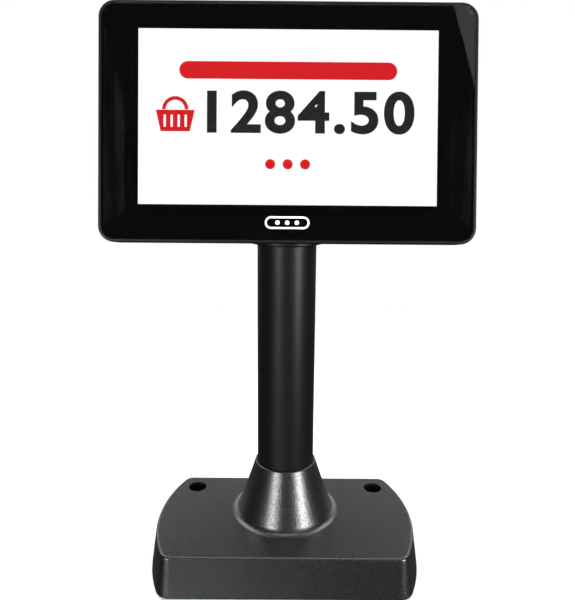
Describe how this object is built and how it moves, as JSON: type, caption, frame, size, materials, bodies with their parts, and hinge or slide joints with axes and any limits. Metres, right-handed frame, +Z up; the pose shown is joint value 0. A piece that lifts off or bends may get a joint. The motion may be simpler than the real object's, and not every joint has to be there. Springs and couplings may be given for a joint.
{
  "type": "pos touchscreen terminal",
  "caption": "Small touchscreen display on a round pole with a weighted base, tilting and swivelling head, and screw-down wells.",
  "frame": {"origin": "on the counter, under the middle of the base", "axes": "+Z up, -Y towards the customer who faces the screen, +X to that customer's right"},
  "size_m": [0.195, 0.095, 0.3277],
  "materials": {
    "moulded_black": "fine spark-eroded moulding texture",
    "case_black": "fine satin moulding",
    "floor_black": "moulded",
    "powder_black": "fine powder coat",
    "black_screw": "black oxide",
    "zinc_steel": "zinc plated",
    "sheet_steel": "pressed sheet",
    "bearing_white": "acetal",
    "brass": "turned",
    "gold_contact": "gold plated",
    "foot_rubber": "matt",
    "grommet_rubber": "matt",
    "lead_jacket": "smooth jacket",
    "plug_white": "nylon",
    "jack_black": "moulded",
    "touch_glass": "polished",
    "border_black": "printed film",
    "tape_grey": "foam tape",
    "panel_glass": "polarised",
    "panel_tray": "pressed tray",
    "board_green": "solder mask",
    "chip_black": "epoxy",
    "sink_black": "black anodised",
    "ribbon_amber": "polyimide",
    "ribbon_white": "flat cable",
    "friction_bronze": "spring bronze"
  },
  "bodies": {
    "stand": {"base_cover": "moulded_black", "bottom_plate": "floor_black", "ballast_plate": "sheet_steel", "base_screws": "zinc_steel", "pole_socket": "sheet_steel", "socket_screws": "zinc_steel", "pole_tube": "powder_black", "pole_lock_screw": "black_screw", "inlet_board": "board_green", "inlet_jack": "jack_black", "inlet_contacts": "gold_contact", "pole_harness": "lead_jacket", "harness_plugs": "plug_white", "swivel_bush": "bearing_white", "foot_front_left": "foot_rubber", "foot_front_right": "foot_rubber", "foot_back_left": "foot_rubber", "foot_back_right": "foot_rubber"},
    "neck": {"swivel_disc": "powder_black", "swivel_stop_pin": "zinc_steel", "swivel_bolt": "zinc_steel", "swivel_nut": "zinc_steel", "swivel_spring_washer": "sheet_steel", "tilt_yoke": "powder_black", "yoke_screws": "black_screw", "tilt_shaft": "zinc_steel", "tilt_friction_washers": "friction_bronze", "tilt_nut": "zinc_steel", "hinge_cap_left": "case_black", "hinge_cap_right": "case_black"},
    "head": {"cover_glass": "touch_glass", "border_print": "border_black", "glass_tape": "tape_grey", "front_bezel": "case_black", "lcd_cell": "panel_glass", "lcd_backlight": "panel_tray", "chassis_plate": "sheet_steel", "chassis_screws": "zinc_steel", "board_standoffs": "brass", "main_board": "board_green", "board_screws": "zinc_steel", "processor": "chip_black", "heat_sink": "sink_black", "board_components": "chip_black", "lcd_ribbon": "ribbon_amber", "touch_ribbon": "ribbon_white", "rear_housing": "case_black", "rear_screws": "black_screw", "cable_grommet": "grommet_rubber", "power_switch": "zinc_steel", "hinge_bracket": "powder_black", "bracket_screws": "black_screw"},
    "power_key": {"power_button": "jack_black"}
  },
  "joints": [
    {"name": "neck_swivel", "type": "hinge", "parent": "stand", "child": "neck", "pos_m": [0, 0.00725, 0.1993], "axis": [0, 0, 1], "range_deg": [-165, 165]},
    {"name": "head_tilt", "type": "hinge", "parent": "neck", "child": "head", "pos_m": [0, 0.00725, 0.232], "axis": [-1, 0, 0], "range_deg": [-10, 50]},
    {"name": "power_press", "type": "slide", "parent": "head", "child": "power_key", "axis": [0, -0.9848, 0.1736], "range_m": [0, 0.0008], "stiffness_N_per_m": 1200, "springref_m": -0.0005}
  ]
}
